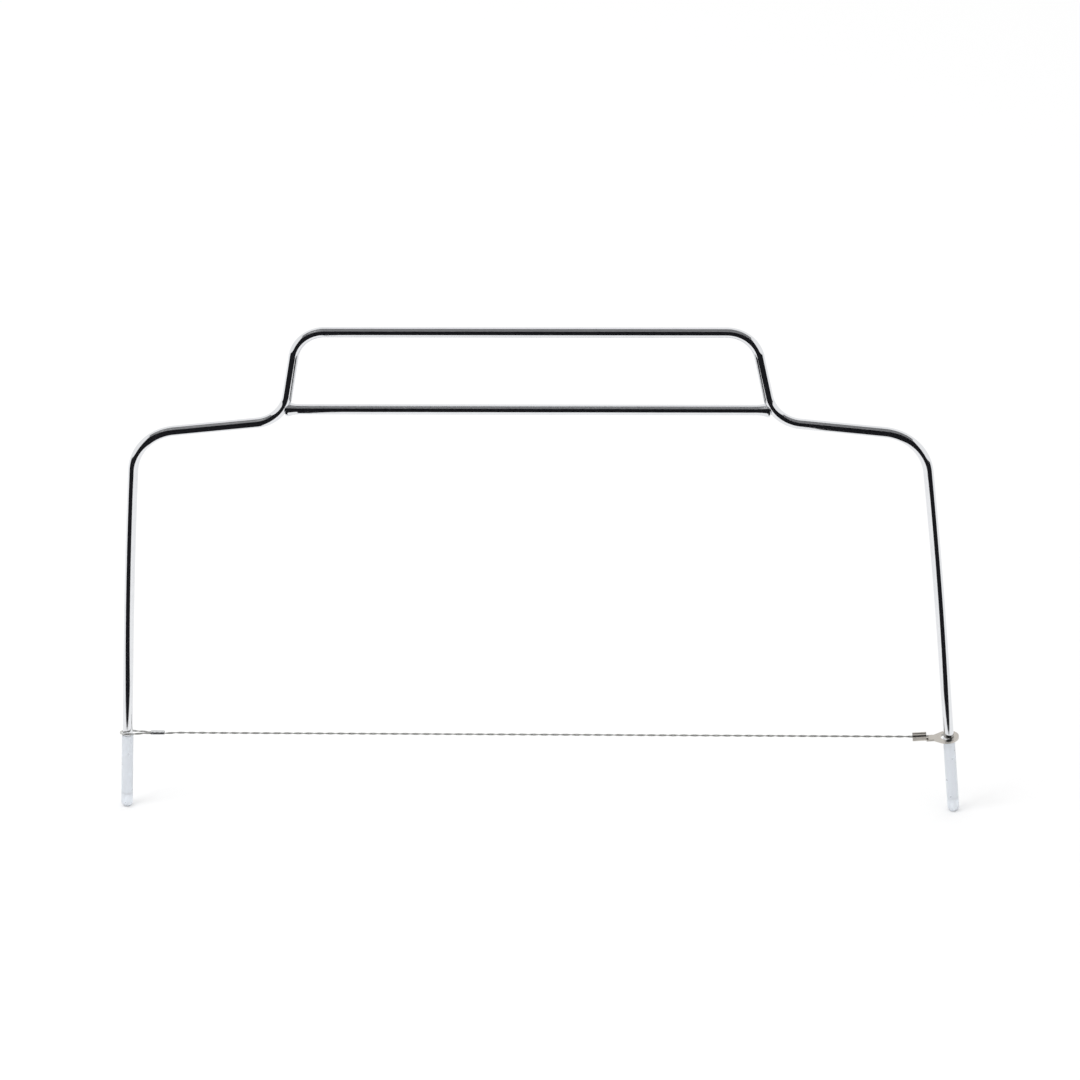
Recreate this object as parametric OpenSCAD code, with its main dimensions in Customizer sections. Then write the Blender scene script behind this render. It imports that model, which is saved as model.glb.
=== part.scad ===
// Hand cake leveler: a bent rod bow with a two-bar grip, and a twisted cutting wire
// held across its legs. X runs along the wire, the front faces -Y, +Z is up.
// The origin lies on the worktop, midway between the feet. Lengths are in millimetres.

/* [Rod] */
// Diameter of the bent rod and of the cross bar
rod_d = 4; // [3:0.1:5]
// Chamfer on the cut ends of the rod
rod_chamfer = 0.3; // [0.1:0.05:0.5]

/* [Grip] */
// Straight length of the top bar
grip_straight = 151; // [110:1:180]
// Centre-line radius of the bends at the ends of the top bar
top_bend_r = 12.5; // [9:0.5:16]
// Angle by which the risers lean inwards
riser_lean = 10.7; // [2:0.1:18]
// Straight length of a riser
riser_straight = 17; // [10:0.5:24]
// Centre-line radius of the bends from the risers to the shoulders
low_bend_r = 14; // [11:0.5:16]
// Distance from the top bar down to the cross bar
bar_drop = 32.4; // [29:0.1:36]

/* [Shoulders and legs] */
// Slope of the shoulders, down and outwards
shoulder_slope = 6.2; // [2:0.1:12]
// Straight length of a shoulder
shoulder_straight = 32; // [15:0.5:45]
// Centre-line radius of the shoulder corners
corner_r = 18.7; // [12:0.1:26]
// Outward lean of a leg just under its corner
leg_top_lean = 5.5; // [4.6:0.1:7]
// Length of the slightly bowed upper part of a leg
leg_bow_len = 82; // [50:1:110]
// Outward lean of the straight lower part of a leg
leg_flare = 4; // [2.5:0.1:4.5]
// Length of that straight part, down to the rod's end
leg_straight = 62; // [50:1:90]

/* [Welds] */
// Length of a weld fillet along the cross bar
weld_len = 3.2; // [2:0.1:4]
// Height of a weld fillet above the cross bar where it meets the bend
weld_rise = 0.75; // [0.4:0.05:1.2]

/* [Foot caps] */
// Wall of a cap round the rod
cap_wall = 0.27; // [0.2:0.01:0.5]
// Clearance between the rod and a cap's bore
cap_fit = 0.02; // [0.01:0.01:0.05]
// Length of rod inside a cap
cap_grip = 27; // [15:0.5:35]
// Thickness of a cap's solid tip, below the rod
cap_tip = 5.4; // [3:0.1:8]
// Radius of the round on a cap's tip
cap_round = 1.6; // [0.8:0.1:2]

/* [Cutting wire] */
// Diameter of one strand
strand_d = 0.4; // [0.3:0.02:0.5]
// Gap between the two strands
strand_gap = 0.04; // [0.03:0.01:0.08]
// Length in which the strands make one full turn
wire_lay = 8.4; // [6:0.1:12]
// Gap between the loop and the outer side of its leg
loop_gap = 0.35; // [0.2:0.05:0.6]
// Play of the loop beyond the rod's diameter
loop_play = 1.2; // [1.1:0.1:1.6]
// Slant of the loop, high at the front and low at the back
loop_slant = 19; // [0:1:25]

/* [Crimp sleeve] */
// Distance from the leg's axis to the sleeve
sleeve_reach = 9.2; // [7:0.1:14]
// Length of the sleeve
sleeve_len = 5.3; // [4:0.1:8]
// Wall of the sleeve
sleeve_wall = 0.3; // [0.2:0.02:0.5]
// Clearance between the wire and the bores of the sleeve and the terminal
crimp_fit = 0.04; // [0.02:0.01:0.08]
// Depth of the press marks
press_depth = 0.14; // [0.05:0.01:0.18]

/* [Ring terminal] */
// Outer diameter of the ring
ring_od = 9; // [8:0.1:10]
// Diameter of the ring's hole, for a 5 mm screw
ring_hole_d = 5.3; // [5.2:0.1:6]
// Thickness of the terminal's sheet
sheet_t = 0.8; // [0.5:0.05:1]
// Gap between the ring's hole and the outer side of its leg
ring_gap = 0.1; // [0.05:0.05:0.2]
// Gap between the ring and the rim of the cap that it rests on
seat_gap = 0.1; // [0.05:0.05:0.3]
// Width of the neck behind the ring
neck_w = 3.7; // [3:0.1:4.5]
// Distance from the ring's centre to the start of the neck
neck_start = 5.2; // [4.8:0.1:6]
// Distance from the ring's centre to the crimp barrel
barrel_start = 8.1; // [7:0.1:10]
// Length of the crimp barrel
barrel_len = 5.4; // [4:0.1:8]
// Width of the crimp barrel
barrel_w = 3; // [2.8:0.1:3.6]
// Height of the crimp barrel with its sheet
barrel_h = 2.8; // [2.6:0.1:3.2]
// Height of the wire above the middle of the sheet
wire_rise = 1.1; // [0.95:0.05:1.2]
// Length of wire that shows past the barrel
wire_end = 0.8; // [0.3:0.1:1.5]

/* [Hidden] */

$fn = 48;
rod_r = rod_d / 2;
cap_r = rod_r + cap_fit + cap_wall;
wire_r = strand_gap / 2 + strand_d;

// A station on the rod's centre line is [x, z, heading], with the heading in degrees
// below the +X direction. A bend with a positive turn goes down, one with a negative
// turn goes out again.
function straight_on(p, len) = [p[0] + len * cos(p[2]), p[1] - len * sin(p[2]), p[2]];
function bend_side(turn) = turn > 0 ? 1 : -1;
function bend_centre(p, r, turn) =
    [p[0] - bend_side(turn) * r * sin(p[2]), p[1] - bend_side(turn) * r * cos(p[2])];
function bend_on(p, r, turn) =
    let (c = bend_centre(p, r, turn), h = p[2] + turn, s = bend_side(turn))
    [c[0] + s * r * sin(h), c[1] + s * r * cos(h), h];

top_turn = 90 - riser_lean;
low_turn = shoulder_slope - top_turn;
corner_turn = 90 - shoulder_slope - leg_top_lean;
bow_turn = leg_top_lean - leg_flare;
bow_r = leg_bow_len * 180 / (PI * bow_turn);

// The stations of one half of the bow, for a top bar at the height top_z
function half_bow(top_z) =
    let (bar_end = straight_on([0, top_z, 0], grip_straight / 2),
         riser_top = bend_on(bar_end, top_bend_r, top_turn),
         riser_foot = straight_on(riser_top, riser_straight),
         shoulder_in = bend_on(riser_foot, low_bend_r, low_turn),
         shoulder_out = straight_on(shoulder_in, shoulder_straight),
         leg_top = bend_on(shoulder_out, corner_r, corner_turn),
         leg_mid = bend_on(leg_top, bow_r, bow_turn),
         rod_end = straight_on(leg_mid, leg_straight))
    [bar_end, riser_top, riser_foot, shoulder_in, shoulder_out, leg_top, leg_mid, rod_end];

// The caps' rounded tips just touch the worktop at z = 0
tip_below_rod = (cap_tip - cap_round) * cos(leg_flare) + (cap_r - cap_round) * sin(leg_flare)
                + cap_round;
top_z = tip_below_rod - half_bow(0)[7][1];
bow = half_bow(top_z);
rod_end = bow[7];

// A point on a leg's axis, a distance up from the rod's end
function leg_x(up) = rod_end[0] - up * sin(leg_flare);
function leg_z(up) = rod_end[1] + up * cos(leg_flare);

// The cross bar butts against the lower bends
bar_z = top_z - bar_drop;
low_centre = bend_centre(bow[2], low_bend_r, low_turn);
bar_half = low_centre[0] - sqrt(pow(low_bend_r + rod_r, 2) - pow(bar_z - low_centre[1], 2));
weld_sink = rod_r * 0.45;

// The ring lies on the cap's rim, square to the leg
ring_up = cap_grip + seat_gap + sheet_t / 2;
ring_shift = ring_hole_d / 2 - rod_r - ring_gap;
ring_x = leg_x(ring_up) - ring_shift * cos(leg_flare);
ring_z = leg_z(ring_up) - ring_shift * sin(leg_flare);
function in_terminal(along, up) =
    [ring_x + along * cos(leg_flare) - up * sin(leg_flare), 0,
     ring_z + along * sin(leg_flare) + up * cos(leg_flare)];
barrel_end = barrel_start + barrel_len;
barrel_mouth = in_terminal(-barrel_end, wire_rise);

// The wire runs level from the barrel's mouth to the sleeve
wire_z = barrel_mouth[2];
leg_at_wire = leg_x((wire_z - rod_end[1]) / cos(leg_flare));
loop_r = rod_r + loop_play / 2 + wire_r;
loop_x = -leg_at_wire + loop_play / 2 - loop_gap;
sleeve_x = -leg_at_wire + sleeve_reach;
sleeve_end_x = sleeve_x + sleeve_len;
// Half the distance between the two wires that lie side by side in the sleeve
pair_half = wire_r + crimp_fit;

// The two wires run straight from the sleeve to where they touch the loop's circle
mouth_gap = 0.4;
tangent_span = norm([sleeve_x - mouth_gap - loop_x, pair_half]);
tangent_at = acos(loop_r / tangent_span) + atan2(pair_half, sleeve_x - mouth_gap - loop_x);
function slanted(x, y) =
    [x, y, wire_z - sign(y) * max(0, abs(y) - pair_half) * tan(loop_slant)];
loop_steps = 16;
loop_points = [for (i = [0 : loop_steps])
    let (a = -tangent_at - (360 - 2 * tangent_at) * i / loop_steps)
    slanted(loop_x + loop_r * cos(a), loop_r * sin(a))];
// Right of the sleeve the wire eases back to the middle plane
ease_len = 6;
ease_points = [for (t = [0 : 0.2 : 1])
    [sleeve_end_x + ease_len * (1 - t), -pair_half * (1 - cos(180 * t)) / 2, wire_z]];

wire_route = concat(
    [in_terminal(wire_end - barrel_start, wire_rise), barrel_mouth],
    ease_points,
    [[sleeve_x - mouth_gap, -pair_half, wire_z]],
    loop_points,
    [[sleeve_x - mouth_gap, pair_half, wire_z], [sleeve_end_x - 0.5, pair_half, wire_z]]);

// Distance along the route at each of its points
function run_to(route, i = 0, run = 0) =
    i == len(route) ? [] :
    let (here = i == 0 ? 0 : run + norm(route[i] - route[i - 1]))
    concat([here], run_to(route, i + 1, here));
wire_run = run_to(wire_route);
wire_len = wire_run[len(wire_run) - 1];
route_tables = [for (axis = [0 : 2]) [for (i = [0 : len(wire_route) - 1])
    [wire_run[i], wire_route[i][axis]]]];
function on_wire(s) = [for (axis = [0 : 2]) lookup(s, route_tables[axis])];

rings_per_turn = 8;
strand_sides = 6;
ring_step = wire_lay / rings_per_turn;
ring_count = floor(wire_len / ring_step) + 1;
function unit(v) = v / norm(v);

// One ring of points round a strand, at a distance s along the wire
function strand_ring(s, phase) =
    let (mid = on_wire(s),
         ahead = unit(on_wire(s + ring_step / 2) - on_wire(s - ring_step / 2)),
         side = unit(cross([0, 0, 1], ahead)),
         rise = cross(ahead, side),
         twist = 360 * s / wire_lay + phase,
         centre = mid + (strand_d + strand_gap) / 2 * (cos(twist) * side + sin(twist) * rise))
    [for (k = [0 : strand_sides - 1])
        let (a = twist + 360 * k / strand_sides)
        centre + strand_d / 2 * (cos(a) * side + sin(a) * rise)];

// The rod's stations from the left end to the right end, as [x, z, heading, radius]
bend_step = 6;
bow_steps = 4;
rod_sides = 24;
function along_bend(p, r, turn, least = 1) =
    let (n = max(least, ceil(abs(turn) / bend_step)))
    [for (i = [1 : n]) bend_on(p, r, turn * i / n)];
function at_radius(stations, r) = [for (p = stations) [p[0], p[1], p[2], r]];
right_rod = concat(
    at_radius(concat([bow[0]], along_bend(bow[0], top_bend_r, top_turn),
                     [bow[2]], along_bend(bow[2], low_bend_r, low_turn),
                     [bow[4]], along_bend(bow[4], corner_r, corner_turn),
                     along_bend(bow[5], bow_r, bow_turn, bow_steps),
                     [straight_on(bow[6], leg_straight - rod_chamfer)]), rod_r),
    at_radius([rod_end], rod_r - rod_chamfer));
whole_rod = concat(
    [for (i = [len(right_rod) - 1 : -1 : 0])
        let (p = right_rod[i]) [-p[0], p[1], -p[2], p[3]]],
    right_rod);
function rod_ring(p) = [for (k = [0 : rod_sides - 1])
    let (a = 360 * k / rod_sides)
    [p[0] + p[3] * cos(a) * sin(p[2]), p[3] * sin(a), p[1] + p[3] * cos(a) * cos(p[2])]];

// A closed skin over rings that all have the same number of points
module skin(rings) {
    n = len(rings[0]);
    last = (len(rings) - 1) * n;
    walls = [for (i = [0 : len(rings) - 2], k = [0 : n - 1])
        let (a = i * n + k, b = i * n + (k + 1) % n)
        each [[a, a + n, b], [b, a + n, b + n]]];
    near_end = [for (k = [1 : n - 2]) [0, k, k + 1]];
    far_end = [for (k = [1 : n - 2]) [last, last + k + 1, last + k]];
    polyhedron(points = [for (ring = rings) each ring], faces = concat(walls, near_end, far_end));
}

// The space that a lower bend of the rod takes, for what is cut to fit it
module low_bend() {
    c = bend_centre(bow[2], low_bend_r, low_turn);
    translate([c[0], 0, c[1]])
        rotate([90, 0, 0])
            rotate([0, 0, 270 - bow[2][2]])
                rotate_extrude(angle = abs(low_turn))
                    translate([low_bend_r, 0])
                        circle(d = rod_d);
}

module bow_rod() {
    color([0.80, 0.81, 0.83])
        skin([for (p = whole_rod) rod_ring(p)]);
}

module grip_bar() {
    half = bar_half + weld_sink;
    color([0.80, 0.81, 0.83])
        difference() {
            translate([-half, 0, bar_z])
                rotate([0, 90, 0])
                    cylinder(d = rod_d, h = 2 * half);
            low_bend();
            mirror([1, 0, 0]) low_bend();
        }
}

// A concave fillet round the end of the cross bar, cut to fit the bar and the bend
module weld_fillet() {
    steps = 6;
    flare = [for (i = [0 : steps])
        let (a = 90 * i / steps)
        [rod_r + weld_rise * (1 - cos(a)), weld_len * sin(a)]];
    color([0.76, 0.77, 0.79])
        difference() {
            translate([bar_half - weld_len, 0, bar_z])
                rotate([0, 90, 0])
                    rotate_extrude()
                        polygon(concat(flare,
                            [[rod_r + weld_rise, weld_len + weld_sink],
                             [rod_r, weld_len + weld_sink]]));
            low_bend();
        }
}

module left_weld() {
    mirror([1, 0, 0]) weld_fillet();
}

module right_weld() {
    weld_fillet();
}

module foot_cap() {
    cap_len = cap_tip + cap_grip;
    bore_r = rod_r + cap_fit;
    color([0.84, 0.87, 0.91])
        translate([rod_end[0] + cap_tip * sin(leg_flare), 0, rod_end[1] - cap_tip * cos(leg_flare)])
            rotate([0, -leg_flare, 0])
                rotate_extrude()
                    difference() {
                        union() {
                            square([cap_r - cap_round, cap_round]);
                            translate([0, cap_round]) square([cap_r, cap_len - cap_round]);
                            intersection() {
                                translate([cap_r - cap_round, cap_round]) circle(r = cap_round);
                                square([cap_r, cap_len]);
                            }
                        }
                        translate([0, cap_tip]) square([bore_r, cap_grip + 1]);
                    }
}

module left_foot_cap() {
    mirror([1, 0, 0]) foot_cap();
}

module right_foot_cap() {
    foot_cap();
}

module wire_strand(phase) {
    color([0.62, 0.62, 0.60])
        skin([for (i = [0 : ring_count - 1]) strand_ring(i * ring_step, phase)]);
}

module wire_strand_a() {
    wire_strand(0);
}

module wire_strand_b() {
    wire_strand(180);
}

// A stadium outline round two wires that lie side by side
module side_by_side(r) {
    for (y = [-pair_half, pair_half])
        translate([0, y]) circle(r = r);
    square([2 * r, 2 * pair_half], center = true);
}

module crimp_sleeve() {
    bore_r = pair_half;
    shell_r = bore_r + sleeve_wall;
    press_r = 1.2;
    color([0.70, 0.71, 0.72])
        translate([sleeve_x, 0, wire_z])
            difference() {
                rotate([0, 90, 0])
                    linear_extrude(sleeve_len)
                        difference() {
                            side_by_side(shell_r);
                            side_by_side(bore_r);
                        }
                for (along = [0.3, 0.7], up = [-1, 1])
                    translate([along * sleeve_len, 0, up * (shell_r - press_depth + press_r)])
                        rotate([90, 0, 0])
                            cylinder(r = press_r, h = 4 * shell_r, center = true);
            }
}

// The ring, the tongue that narrows from it, and the neck and floor of the barrel
module terminal_sheet() {
    ring_r = ring_od / 2;
    neck_half = neck_w / 2;
    reach = norm([neck_start, neck_half]);
    touch = atan2(neck_half, -neck_start) - acos(ring_r / reach);
    linear_extrude(sheet_t, center = true)
        difference() {
            union() {
                circle(r = ring_r);
                polygon([for (s = [1, -1]) each
                    s > 0 ? [[0, 0], [ring_r * cos(touch), ring_r * sin(touch)], [-neck_start, neck_half]]
                          : [[-neck_start, -neck_half], [ring_r * cos(touch), -ring_r * sin(touch)]]]);
                translate([-barrel_start, -neck_half]) square([barrel_start - neck_start, neck_w]);
            }
            circle(d = ring_hole_d);
        }
}

// The barrel's section: a floor and two wings that curl in and press on the wire
module barrel_section() {
    curl_r = barrel_w / 4;
    corner = 0.6;
    low = -sheet_t / 2;
    curl_z = low + barrel_h - curl_r;
    difference() {
        union() {
            translate([-barrel_w / 2, low + corner]) square([barrel_w, curl_z - low - corner]);
            translate([-barrel_w / 2 + corner, low]) square([barrel_w - 2 * corner, corner]);
            for (s = [-1, 1]) {
                translate([s * (barrel_w / 2 - corner), low + corner]) circle(r = corner);
                translate([s * curl_r, curl_z]) circle(r = curl_r);
            }
        }
        translate([0, wire_rise]) circle(r = wire_r + crimp_fit);
    }
}

module ring_terminal() {
    color([0.66, 0.64, 0.61])
        translate([ring_x, 0, ring_z])
            rotate([0, -leg_flare, 0]) {
                terminal_sheet();
                translate([-barrel_start, 0, 0])
                    rotate([90, 0, -90])
                        linear_extrude(barrel_len)
                            barrel_section();
            }
}

bow_rod();
grip_bar();
left_weld();
right_weld();
left_foot_cap();
right_foot_cap();
wire_strand_a();
wire_strand_b();
crimp_sleeve();
ring_terminal();
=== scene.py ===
from math import acos, atan2, ceil, cos, hypot, pi, radians, sin, sqrt, tan

import bmesh
import bpy
from mathutils import Matrix, Vector


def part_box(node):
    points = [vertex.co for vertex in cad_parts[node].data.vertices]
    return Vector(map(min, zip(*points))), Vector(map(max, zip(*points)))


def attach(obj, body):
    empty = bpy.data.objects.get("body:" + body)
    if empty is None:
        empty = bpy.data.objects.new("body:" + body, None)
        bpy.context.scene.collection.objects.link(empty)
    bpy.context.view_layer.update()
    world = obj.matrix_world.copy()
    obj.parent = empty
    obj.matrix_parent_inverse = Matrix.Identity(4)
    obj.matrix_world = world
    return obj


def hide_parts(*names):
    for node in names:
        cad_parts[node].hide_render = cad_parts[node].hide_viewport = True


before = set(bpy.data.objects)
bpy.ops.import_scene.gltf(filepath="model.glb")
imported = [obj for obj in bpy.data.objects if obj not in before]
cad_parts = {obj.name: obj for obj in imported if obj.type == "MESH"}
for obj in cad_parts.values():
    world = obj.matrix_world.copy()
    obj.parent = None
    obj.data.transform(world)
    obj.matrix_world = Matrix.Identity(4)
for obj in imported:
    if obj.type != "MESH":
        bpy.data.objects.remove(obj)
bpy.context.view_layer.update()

# Camera
# It stands a little to the right of the tool's front and looks down on it, as in the photograph.
# The distance, lens and small roll give the photograph's 1080 px frame.
CAMERA_TURN = radians(3.673)
CAMERA_HEIGHT = radians(28)
CAMERA_ROLL = radians(-1.539)
CAMERA_AWAY = 2.0
CAMERA_AIM = Vector((0.003449, 0, 0.119214))
CAMERA_LENS = 173.96
SENSOR_WIDTH = 36

away = Vector((sin(CAMERA_TURN) * cos(CAMERA_HEIGHT), -cos(CAMERA_TURN) * cos(CAMERA_HEIGHT),
               sin(CAMERA_HEIGHT)))
level = (-away).cross(Vector((0, 0, 1))).normalized()
above = level.cross(-away)
rolled = cos(CAMERA_ROLL) * level + sin(CAMERA_ROLL) * above
above = -sin(CAMERA_ROLL) * level + cos(CAMERA_ROLL) * above
camera = bpy.data.objects.new("camera", bpy.data.cameras.new("camera"))
camera.data.lens = CAMERA_LENS
camera.data.sensor_width = SENSOR_WIDTH
camera.matrix_world = Matrix.Translation(CAMERA_AIM + CAMERA_AWAY * away) @ Matrix(
    (rolled, above, away)).transposed().to_4x4()
bpy.context.collection.objects.link(camera)
bpy.context.scene.camera = camera

# Table and studio
# A white table under white surroundings and one soft lamp. Only the reflections see the dark
# floor past the table's edge, the dark room in front of it and the grey ceiling.
TABLE_WHITE = (0.93, 0.93, 0.93, 1)
TABLE_ROUGH = 0.6
ROOM_BLACK = (0.012, 0.012, 0.014, 1)
CEILING_GREY = (0.22, 0.22, 0.225, 1)
TABLE_SIZE = 4.0
TABLE_EDGE = 0.06
TABLE_MIDDLE_EDGE = 0.25
TABLE_MIDDLE_HALF = 0.1
ROOM_AWAY = 1.2
ROOM_HALF = 1.6
ROOM_FLOOR = 0.002
ROOM_START = 5
ROOM_TOP = 50
CEILING_END = 105
ARC_STEP = 5
ROOM_ROUGH = 1.0
SKY_WHITE = (1, 1, 1, 1)
SKY_STRENGTH = 1.0
LAMP_WATTS = 6
LAMP_SIZE = 0.8
LAMP_PLACE = Vector((-0.9, -0.5, 1.6))
LAMP_AIM = Vector((0, 0, 0.1))
SHARP_ANGLE = radians(40)


def plain_material(name, colour, roughness):
    """A plain finish without sheen, for the studio and for the painted shade at the rod's ends."""
    material = bpy.data.materials.new(name)
    material.use_nodes = True
    shader = material.node_tree.nodes["Principled BSDF"]
    shader.inputs["Base Color"].default_value = colour
    shader.inputs["Roughness"].default_value = roughness
    shader.inputs["Specular IOR Level"].default_value = 0
    return material


def new_piece(name, points, faces, material, smooth=True):
    """An object from points and faces, smooth apart from its sharp corners."""
    mesh = bpy.data.meshes.new(name)
    mesh.from_pydata([tuple(p) for p in points], [], faces)
    mesh.materials.append(material)
    mesh.polygons.foreach_set("use_smooth", [smooth] * len(mesh.polygons))
    mesh.update()
    if smooth:
        mesh.set_sharp_from_angle(angle=SHARP_ANGLE)
    piece = bpy.data.objects.new(name, mesh)
    bpy.context.collection.objects.link(piece)
    return piece


half = TABLE_SIZE / 2
table = new_piece("table", [(-half, -half, 0), (half, -half, 0), (half, half, 0), (-half, half, 0)],
                  [(0, 1, 2, 3)], plain_material("table white", TABLE_WHITE, TABLE_ROUGH),
                  smooth=False)


def reflected_card(name, outline, colour, left=-ROOM_HALF, right=ROOM_HALF):
    """A card round the tool that only reflections see, from its outline of (y, z)."""
    points = [(x, y, z) for y, z in outline for x in (left, right)]
    faces = [(2 * i, 2 * i + 1, 2 * i + 3, 2 * i + 2) for i in range(len(outline) - 1)]
    card = new_piece(name, points, faces, plain_material(name, colour, ROOM_ROUGH),
                     smooth=False)
    card.visible_camera = False
    card.visible_diffuse = False
    card.visible_shadow = False
    card.visible_transmission = False


def arc(start, end):
    """Points (y, z) on a circle round the tool, between two angles above level in degrees."""
    return [(-ROOM_AWAY * cos(radians(d)), ROOM_AWAY * sin(radians(d)))
            for d in range(start, end + 1, ARC_STEP)]


reflected_card("dark_room", [(-ROOM_AWAY, ROOM_FLOOR)] + arc(ROOM_START, ROOM_TOP), ROOM_BLACK)
reflected_card("dark_floor", [(-TABLE_MIDDLE_EDGE, ROOM_FLOOR), (-ROOM_AWAY, ROOM_FLOOR)],
               ROOM_BLACK)
for name, left, right in (("dark_floor_left", -ROOM_HALF, -TABLE_MIDDLE_HALF),
                          ("dark_floor_right", TABLE_MIDDLE_HALF, ROOM_HALF)):
    reflected_card(name, [(-TABLE_EDGE, ROOM_FLOOR), (-TABLE_MIDDLE_EDGE, ROOM_FLOOR)],
                   ROOM_BLACK, left, right)
reflected_card("grey_ceiling", arc(ROOM_TOP, CEILING_END), CEILING_GREY)

world = bpy.data.worlds.new("studio")
bpy.context.scene.world = world
world.use_nodes = True
world.node_tree.nodes["Background"].inputs["Color"].default_value = SKY_WHITE
world.node_tree.nodes["Background"].inputs["Strength"].default_value = SKY_STRENGTH

lamp = bpy.data.objects.new("soft_lamp", bpy.data.lights.new("soft_lamp", "AREA"))
lamp.data.size = LAMP_SIZE
lamp.data.energy = LAMP_WATTS
lamp.location = LAMP_PLACE
lamp.rotation_euler = (LAMP_AIM - LAMP_PLACE).to_track_quat("-Z", "Y").to_euler()
bpy.context.collection.objects.link(lamp)
bpy.context.scene.view_settings.view_transform = "Standard"

# Bent rod
# One length of 4 mm steel rod, bent cold into the grip, shoulders and legs, then nickel-chrome
# plated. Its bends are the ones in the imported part, with a finer skin.
ROD = 0.002
GRIP_STRAIGHT = 0.151
TOP_BEND = 0.0125
RISER_LEAN = radians(10.7)
RISER_STRAIGHT = 0.017
LOW_BEND = 0.014
SHOULDER_SLOPE = radians(6.2)
SHOULDER_STRAIGHT = 0.032
CORNER = 0.0187
LEG_TOP_LEAN = radians(5.5)
LEG_BOW_LENGTH = 0.082
LEG_FLARE = radians(4)
LEG_STRAIGHT = 0.062
END_CHAMFER = 0.0003
# Painted shade: the length of the band up the rod's side, above its end, that is painted near black
# along with the end face.
END_SHADE_BAND = 0.0009
ROD_SIDES = 48
BEND_STEP = radians(2)
LEG_BOW_STEPS = 12
PLATE = (0.80, 0.81, 0.83, 1)
# Painted shade: the near-black colour of the rod's end face and of the band above it, for the dark
# line where the rod ends inside the cap.
END_SHADE = (0.03, 0.027, 0.027, 1)
END_SHADE_ROUGH = 0.7
NOISE_DETAIL = 4
TINT_DARK = 0.9
RELIEF_DEPTH = 0.0001


def metal(name, colour, rough_low, rough_high, grain, bump, stretch=(1, 1, 1)):
    """Plated or drawn metal: its roughness and a shallow bump follow a fine noise."""
    material = bpy.data.materials.new(name)
    material.use_nodes = True
    nodes, links = material.node_tree.nodes, material.node_tree.links
    shader = nodes["Principled BSDF"]
    shader.inputs["Metallic"].default_value = 1.0
    place = nodes.new("ShaderNodeTexCoord")
    scale = nodes.new("ShaderNodeMapping")
    scale.inputs["Scale"].default_value = stretch
    noise = nodes.new("ShaderNodeTexNoise")
    noise.inputs["Scale"].default_value = grain
    noise.inputs["Detail"].default_value = NOISE_DETAIL
    links.new(place.outputs["Object"], scale.inputs["Vector"])
    links.new(scale.outputs["Vector"], noise.inputs["Vector"])
    rough = nodes.new("ShaderNodeMapRange")
    rough.inputs["To Min"].default_value = rough_low
    rough.inputs["To Max"].default_value = rough_high
    links.new(noise.outputs["Fac"], rough.inputs["Value"])
    links.new(rough.outputs["Result"], shader.inputs["Roughness"])
    tint = nodes.new("ShaderNodeMix")
    tint.data_type = "RGBA"
    tint.inputs["A"].default_value = colour
    tint.inputs["B"].default_value = [TINT_DARK * c for c in colour[:3]] + [1]
    links.new(noise.outputs["Fac"], tint.inputs["Factor"])
    links.new(tint.outputs["Result"], shader.inputs["Base Color"])
    relief = nodes.new("ShaderNodeBump")
    relief.inputs["Strength"].default_value = bump
    relief.inputs["Distance"].default_value = RELIEF_DEPTH
    links.new(noise.outputs["Fac"], relief.inputs["Height"])
    links.new(relief.outputs["Normal"], shader.inputs["Normal"])
    return material


def go(p, length):
    """The station a straight length further on from station p."""
    return (p[0] + length * cos(p[2]), p[1] - length * sin(p[2]), p[2])


def bend_centre(p, radius, turn):
    """The centre of a bend, on the side of the rod that it turns to."""
    s = 1 if turn > 0 else -1
    return p[0] - s * radius * sin(p[2]), p[1] - s * radius * cos(p[2])


def bend(p, radius, turn):
    """The station at the end of a bend that starts at station p."""
    s = 1 if turn > 0 else -1
    x, z = bend_centre(p, radius, turn)
    return (x + s * radius * sin(p[2] + turn), z + s * radius * cos(p[2] + turn), p[2] + turn)


def bend_points(p, radius, turn, least=1):
    """Stations along a bend, close enough to look round."""
    count = max(least, ceil(abs(turn) / BEND_STEP))
    return [bend(p, radius, turn * i / count) for i in range(1, count + 1)]


def half_rod(top):
    """Stations (x, z, heading) from the end of the top bar's straight to the rod's end."""
    stations = [(GRIP_STRAIGHT / 2, top, 0)]
    stations += bend_points(stations[-1], TOP_BEND, pi / 2 - RISER_LEAN)
    stations.append(go(stations[-1], RISER_STRAIGHT))
    low_start = stations[-1]
    stations += bend_points(low_start, LOW_BEND, SHOULDER_SLOPE + RISER_LEAN - pi / 2)
    stations.append(go(stations[-1], SHOULDER_STRAIGHT))
    stations += bend_points(stations[-1], CORNER, pi / 2 - SHOULDER_SLOPE - LEG_TOP_LEAN)
    bow_turn = LEG_TOP_LEAN - LEG_FLARE
    stations += bend_points(stations[-1], LEG_BOW_LENGTH / bow_turn, bow_turn,
                            least=LEG_BOW_STEPS)
    stations.append(go(stations[-1], LEG_STRAIGHT))
    return stations, low_start


def sweep(name, rings, material):
    """A closed skin over rings of points, with an end face on each end."""
    n = len(rings[0])
    points = [p for ring in rings for p in ring]
    faces = [(i * n + k, i * n + (k + 1) % n, (i + 1) * n + (k + 1) % n, (i + 1) * n + k)
             for i in range(len(rings) - 1) for k in range(n)]
    faces.append(tuple(range(n - 1, -1, -1)))
    faces.append(tuple(range(len(points) - n, len(points))))
    return new_piece(name, points, faces, material)


def face_out(piece):
    """Turns every face of a closed piece outwards."""
    shape = bmesh.new()
    shape.from_mesh(piece.data)
    bmesh.ops.recalc_face_normals(shape, faces=shape.faces)
    shape.to_mesh(piece.data)
    shape.free()


def rod_ring(p, radius):
    """The rod's round section at station p, square to its heading."""
    angles = [2 * pi * k / ROD_SIDES for k in range(ROD_SIDES)]
    return [(p[0] + radius * cos(a) * sin(p[2]), radius * sin(a),
             p[1] + radius * cos(a) * cos(p[2]))
            for a in angles]


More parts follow.
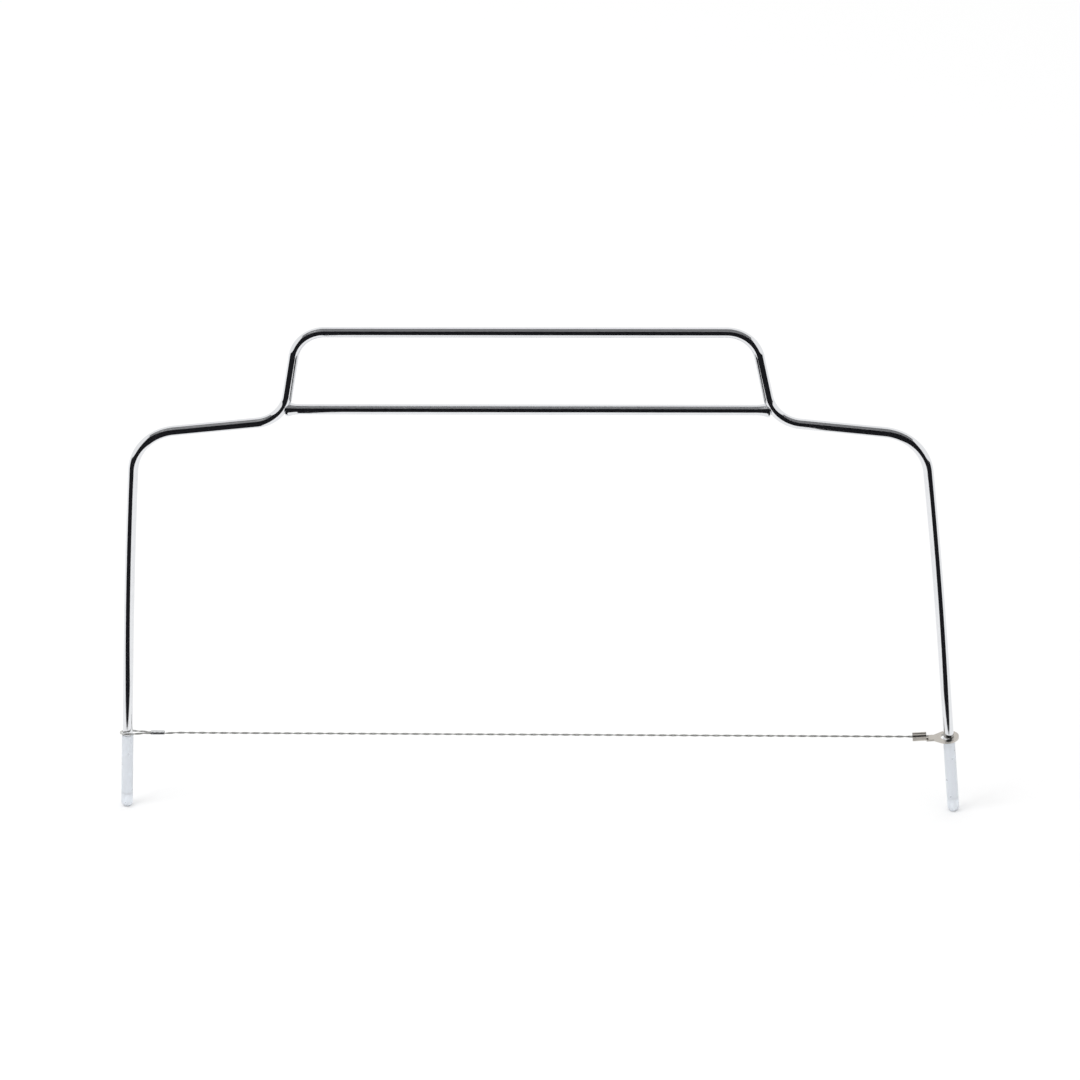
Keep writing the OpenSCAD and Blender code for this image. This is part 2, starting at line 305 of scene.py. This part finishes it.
top_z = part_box("bow_rod")[1][2] - ROD
half_stations, low_start = half_rod(top_z)
rod_end = half_stations[-1]
right_rings = [(p, ROD) for p in half_stations[:-1]]
right_rings += [(go(rod_end, -END_SHADE_BAND), ROD), (go(rod_end, -END_CHAMFER), ROD),
                (rod_end, ROD - END_CHAMFER)]
left_rings = [((-p[0], p[1], -p[2]), r) for p, r in reversed(right_rings)]
plate = metal("nickel-chrome plate", PLATE, rough_low=0.05, rough_high=0.11, grain=260,
              bump=0.05)
bow = sweep("bent_rod", [rod_ring(p, r) for p, r in left_rings + right_rings], plate)
face_out(bow)
# The rod's end face and the band just above it get the near-black finish: painted shade for the
# dark line where the rod ends inside the clear cap.
bow.data.materials.append(plain_material("painted end shade", END_SHADE, END_SHADE_ROUGH))
for face in bow.data.polygons:
    if face.center.z < rod_end[1] + END_SHADE_BAND:
        face.material_index = 1
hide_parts("bow_rod")
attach(bow, "bow")

# Cross bar and its welds
# A straight piece of the same rod, butt-welded between the lower bends before plating, so the
# weld runs smoothly from the bar's end onto the bend.
BAR_DROP = 0.0324
WELD_LENGTH = 0.0038
WELD_RISE = 0.0008
WELD_SINK = 0.0009
WELD_STEPS = 14
WELD_CURVE = 1.7
WELD_BACK = 0.7
WELD_SKIN = 0.00001
WELD_PLATE = (0.78, 0.79, 0.81, 1)


def lathe(name, profile, start, direction, material):
    """Turns a profile of (distance along, radius) round an axis that lies in the bow's plane."""
    start, direction = Vector(start), Vector(direction).normalized()
    across = direction.cross(Vector((0, 1, 0)))
    rings = []
    for along, radius in profile:
        middle = start + along * direction
        rings.append([middle + radius * (cos(2 * pi * k / ROD_SIDES) * across
                                         + sin(2 * pi * k / ROD_SIDES) * Vector((0, 1, 0)))
                      for k in range(ROD_SIDES)])
    piece = sweep(name, rings, material)
    face_out(piece)
    return piece


bar_z = top_z - BAR_DROP
low_x, low_z = bend_centre(low_start, LOW_BEND, -1)
bar_half = low_x - sqrt((LOW_BEND + ROD) ** 2 - (bar_z - low_z) ** 2)
bar = lathe("cross_bar", [(0, ROD), (2 * (bar_half + WELD_SINK), ROD)],
            (-bar_half - WELD_SINK, 0, bar_z), (1, 0, 0), plate)
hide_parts("grip_bar")
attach(bar, "bow")

weld_plate = metal("plated weld", WELD_PLATE, rough_low=0.07, rough_high=0.16, grain=500,
                   bump=0.25)
fillet = [(WELD_LENGTH * i / WELD_STEPS,
           ROD + WELD_SKIN + WELD_RISE * (i / WELD_STEPS) ** WELD_CURVE)
          for i in range(WELD_STEPS + 1)]
fillet.append((WELD_LENGTH + WELD_SINK, ROD + WELD_RISE * WELD_BACK))
for side_name, s in (("left", -1), ("right", 1)):
    weld = lathe(f"{side_name}_weld_fillet", fillet, (s * (bar_half - WELD_LENGTH), 0, bar_z),
                 (s, 0, 0), weld_plate)
    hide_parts(f"{side_name}_weld")
    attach(weld, "bow")

# Foot caps
# Soft clear vinyl caps pushed over the rod's ends, with a thin wall and a solid rounded tip.
# Here their bore is let into the rod a little, so that vinyl meets metal with no air between.
CAP_WALL = 0.00027
CAP_FIT = 0.00002
CAP_GRIP = 0.027
CAP_TIP = 0.0054
CAP_GRASP = 0.0004
CAP_ROUND = 0.0016
ROUND_STEPS = 10
CAP_STEPS = 30
CAP_POLE = 0.00001
VINYL = (0.88, 0.92, 0.97, 1)
VINYL_CLEAR = 0.4
VINYL_IOR = 1.45
VINYL_GRAIN = 600
VINYL_ROUGH = (0.22, 0.4)

vinyl = bpy.data.materials.new("clear vinyl")
vinyl.use_nodes = True
vinyl_nodes, vinyl_links = vinyl.node_tree.nodes, vinyl.node_tree.links
vinyl_shader = vinyl_nodes["Principled BSDF"]
vinyl_shader.inputs["Base Color"].default_value = VINYL
vinyl_shader.inputs["Transmission Weight"].default_value = VINYL_CLEAR
vinyl_shader.inputs["IOR"].default_value = VINYL_IOR
vinyl_place = vinyl_nodes.new("ShaderNodeTexCoord")
vinyl_cloud = vinyl_nodes.new("ShaderNodeTexNoise")
vinyl_cloud.inputs["Scale"].default_value = VINYL_GRAIN
vinyl_links.new(vinyl_place.outputs["Object"], vinyl_cloud.inputs["Vector"])
vinyl_rough = vinyl_nodes.new("ShaderNodeMapRange")
vinyl_rough.inputs["To Min"].default_value = VINYL_ROUGH[0]
vinyl_rough.inputs["To Max"].default_value = VINYL_ROUGH[1]
vinyl_links.new(vinyl_cloud.outputs["Fac"], vinyl_rough.inputs["Value"])
vinyl_links.new(vinyl_rough.outputs["Result"], vinyl_shader.inputs["Roughness"])

cap_radius = ROD + CAP_FIT + CAP_WALL
cap_profile = [(0, CAP_POLE)]
cap_profile += [(CAP_ROUND * (1 - cos(pi / 2 * i / ROUND_STEPS)),
                 cap_radius - CAP_ROUND + CAP_ROUND * sin(pi / 2 * i / ROUND_STEPS))
                for i in range(ROUND_STEPS + 1)]
cap_profile += [(CAP_ROUND + (CAP_TIP + CAP_GRIP - CAP_ROUND) * i / CAP_STEPS, cap_radius)
                for i in range(1, CAP_STEPS + 1)]
cap_profile += [(CAP_TIP + CAP_GRIP, ROD - CAP_GRASP),
                (CAP_TIP + CAP_GRASP, ROD - CAP_GRASP), (CAP_TIP + CAP_GRASP, CAP_POLE)]
for side_name, s in (("left", -1), ("right", 1)):
    tip = (s * (rod_end[0] + CAP_TIP * sin(LEG_FLARE)), 0, rod_end[1] - CAP_TIP * cos(LEG_FLARE))
    cap = lathe(f"{side_name}_vinyl_cap", cap_profile, tip,
                (-s * sin(LEG_FLARE), 0, cos(LEG_FLARE)), vinyl)
    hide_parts(f"{side_name}_foot_cap")
    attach(cap, "bow")

# Cutting wire
# Two drawn steel strands twisted together. The wire is crimped into the ring terminal, runs
# level through the sleeve, loops round the left leg and ends back in the sleeve.
STRAND = 0.0004
STRAND_GAP = 0.00004
LAY = 0.0084
TURN_STEPS = 24
STRAND_SIDES = 10
LOOP_PLAY = 0.0012
LOOP_GAP = 0.00035
LOOP_SLANT = radians(19)
SLEEVE_REACH = 0.0092
SLEEVE_LENGTH = 0.0053
CRIMP_FIT = 0.00004
RING_HOLE = 0.0053
RING_GAP = 0.0001
SEAT_GAP = 0.0001
SHEET = 0.0008
BARREL_START = 0.0081
BARREL_LENGTH = 0.0054
WIRE_RISE = 0.0011
WIRE_END = 0.0008
EASE = 0.006
EASE_STEPS = 12
LOOP_STEPS = 48
MOUTH_GAP = 0.0004
TAIL_SHORT = 0.0005
STEEL = (0.60, 0.60, 0.58, 1)
DRAWN_STRETCH = (0.1, 1, 1)

wire_radius = STRAND_GAP / 2 + STRAND
ring_up = CAP_GRIP + SEAT_GAP + SHEET / 2
ring_shift = RING_HOLE / 2 - ROD - RING_GAP
ring_x = rod_end[0] - ring_up * sin(LEG_FLARE) - ring_shift * cos(LEG_FLARE)
ring_z = rod_end[1] + ring_up * cos(LEG_FLARE) - ring_shift * sin(LEG_FLARE)


def in_terminal(along, up):
    """A point in the ring terminal's own frame, which leans with the leg."""
    return Vector((ring_x + along * cos(LEG_FLARE) - up * sin(LEG_FLARE), 0,
                   ring_z + along * sin(LEG_FLARE) + up * cos(LEG_FLARE)))


mouth = in_terminal(-BARREL_START - BARREL_LENGTH, WIRE_RISE)
wire_z = mouth.z
leg_at_wire = rod_end[0] - (wire_z - rod_end[1]) * tan(LEG_FLARE)
loop_radius = ROD + LOOP_PLAY / 2 + wire_radius
loop_x = LOOP_PLAY / 2 - LOOP_GAP - leg_at_wire
sleeve_x = SLEEVE_REACH - leg_at_wire
sleeve_end = sleeve_x + SLEEVE_LENGTH
pair_half = wire_radius + CRIMP_FIT
span_x = sleeve_x - MOUTH_GAP - loop_x
touch = acos(loop_radius / hypot(span_x, pair_half)) + atan2(pair_half, span_x)


def slanted(x, y):
    """A point of the loop, whose front is higher than its back."""
    s = 1 if y > 0 else -1
    return Vector((x, y, wire_z - s * max(0, abs(y) - pair_half) * tan(LOOP_SLANT)))


route = [in_terminal(WIRE_END - BARREL_START, WIRE_RISE), mouth]
route += [Vector((sleeve_end + EASE * (1 - t / EASE_STEPS),
                  -pair_half * (1 - cos(pi * t / EASE_STEPS)) / 2, wire_z))
          for t in range(EASE_STEPS + 1)]
route.append(Vector((sleeve_x - MOUTH_GAP, -pair_half, wire_z)))
for i in range(LOOP_STEPS + 1):
    a = -touch - (2 * pi - 2 * touch) * i / LOOP_STEPS
    route.append(slanted(loop_x + loop_radius * cos(a), loop_radius * sin(a)))
route += [Vector((sleeve_x - MOUTH_GAP, pair_half, wire_z)),
          Vector((sleeve_end - TAIL_SHORT, pair_half, wire_z))]


def strand_tree():
    """Geometry nodes that wind one round strand about the wire's route."""
    tree = bpy.data.node_groups.new("twisted strand", "GeometryNodeTree")
    face = tree.interface
    face.new_socket("Route", in_out="INPUT", socket_type="NodeSocketGeometry")
    for label in ("Step", "Lay", "Offset", "Phase", "Radius"):
        face.new_socket(label, in_out="INPUT", socket_type="NodeSocketFloat")
    face.new_socket("Steel", in_out="INPUT", socket_type="NodeSocketMaterial")
    face.new_socket("Strand", in_out="OUTPUT", socket_type="NodeSocketGeometry")
    nodes, links = tree.nodes, tree.links

    def add(kind, **settings):
        node = nodes.new(kind)
        for key, value in settings.items():
            setattr(node, key, value)
        return node

    def maths(operation, a, b=None):
        node = add("ShaderNodeMath", operation=operation)
        for slot, value in enumerate((a, b)):
            if value is None:
                continue
            if isinstance(value, (int, float)):
                node.inputs[slot].default_value = value
            else:
                links.new(value, node.inputs[slot])
        return node.outputs[0]

    def scaled(vector, factor):
        node = add("ShaderNodeVectorMath", operation="SCALE")
        links.new(vector, node.inputs[0])
        links.new(factor, node.inputs["Scale"])
        return node.outputs[0]

    given = add("NodeGroupInput").outputs
    resample = add("GeometryNodeResampleCurve", mode="LENGTH")
    links.new(given["Route"], resample.inputs["Curve"])
    links.new(given["Step"], resample.inputs["Length"])
    run = add("GeometryNodeSplineParameter").outputs["Length"]
    tangent = add("GeometryNodeInputTangent").outputs[0]
    normal = add("GeometryNodeInputNormal").outputs[0]
    cross = add("ShaderNodeVectorMath", operation="CROSS_PRODUCT")
    links.new(tangent, cross.inputs[0])
    links.new(normal, cross.inputs[1])
    angle = maths("ADD", maths("MULTIPLY", maths("DIVIDE", run, given["Lay"]), 2 * pi),
                  given["Phase"])
    along_normal = scaled(normal, maths("MULTIPLY", maths("COSINE", angle), given["Offset"]))
    along_cross = scaled(cross.outputs[0], maths("MULTIPLY", maths("SINE", angle), given["Offset"]))
    offset = add("ShaderNodeVectorMath", operation="ADD")
    links.new(along_normal, offset.inputs[0])
    links.new(along_cross, offset.inputs[1])
    place = add("GeometryNodeSetPosition")
    links.new(resample.outputs["Curve"], place.inputs["Geometry"])
    links.new(offset.outputs[0], place.inputs["Offset"])
    circle = add("GeometryNodeCurvePrimitiveCircle")
    circle.inputs["Resolution"].default_value = STRAND_SIDES
    links.new(given["Radius"], circle.inputs["Radius"])
    skin = add("GeometryNodeCurveToMesh")
    skin.inputs["Fill Caps"].default_value = True
    links.new(place.outputs["Geometry"], skin.inputs["Curve"])
    links.new(circle.outputs["Curve"], skin.inputs["Profile Curve"])
    smooth = add("GeometryNodeSetShadeSmooth")
    real = add("GeometryNodeRealizeInstances")
    coat = add("GeometryNodeSetMaterial")
    links.new(skin.outputs["Mesh"], smooth.inputs["Geometry"])
    links.new(smooth.outputs["Geometry"], real.inputs["Geometry"])
    links.new(real.outputs["Geometry"], coat.inputs["Geometry"])
    links.new(given["Steel"], coat.inputs["Material"])
    links.new(coat.outputs["Geometry"], add("NodeGroupOutput").inputs["Strand"])
    return tree


def wind(name, tree, phase, material):
    """Winds one strand along the route and keeps it as a plain mesh."""
    path = bpy.data.curves.new(name, "CURVE")
    path.dimensions = "3D"
    spline = path.splines.new("POLY")
    spline.points.add(len(route) - 1)
    for point, place in zip(spline.points, route):
        point.co = (*place, 1)
    guide = bpy.data.objects.new(name + "_guide", path)
    bpy.context.collection.objects.link(guide)
    modifier = guide.modifiers.new("strand", "NODES")
    modifier.node_group = tree
    values = {"Step": LAY / TURN_STEPS, "Lay": LAY, "Offset": (STRAND + STRAND_GAP) / 2,
              "Phase": phase, "Radius": STRAND / 2, "Steel": material}
    for item in tree.interface.items_tree:
        if item.in_out == "INPUT" and item.name in values:
            modifier[item.identifier] = values[item.name]
    bpy.context.view_layer.update()
    ready = guide.evaluated_get(bpy.context.evaluated_depsgraph_get())
    mesh = bpy.data.meshes.new_from_object(ready)
    bpy.data.objects.remove(guide)
    strand = bpy.data.objects.new(name, mesh)
    bpy.context.collection.objects.link(strand)
    face_out(strand)
    return strand


wire_steel = metal("drawn steel", STEEL, rough_low=0.18, rough_high=0.34, grain=1500,
                   bump=0.2, stretch=DRAWN_STRETCH)
strands = strand_tree()
for letter, phase in (("a", 0.0), ("b", pi)):
    strand = wind(f"strand_{letter}", strands, phase, wire_steel)
    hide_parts(f"wire_strand_{letter}")
    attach(strand, "cutter")

# Crimp sleeve and ring terminal
# Small stamped and pressed fittings of plated copper, crimped onto the wire. Their shapes are
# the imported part's own, and their finish is duller than the rod's.
NICKEL = (0.70, 0.71, 0.72, 1)
TIN = (0.55, 0.52, 0.48, 1)


def dress(node, material):
    """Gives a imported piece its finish."""
    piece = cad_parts[node]
    piece.data.materials.clear()
    piece.data.materials.append(material)


nickel_plate = metal("nickel plate", NICKEL, rough_low=0.16, rough_high=0.3, grain=900,
                     bump=0.3)
dress("crimp_sleeve", nickel_plate)
tinned_copper = metal("tinned copper", TIN, rough_low=0.14, rough_high=0.32, grain=700,
                      bump=0.3)
dress("ring_terminal", tinned_copper)
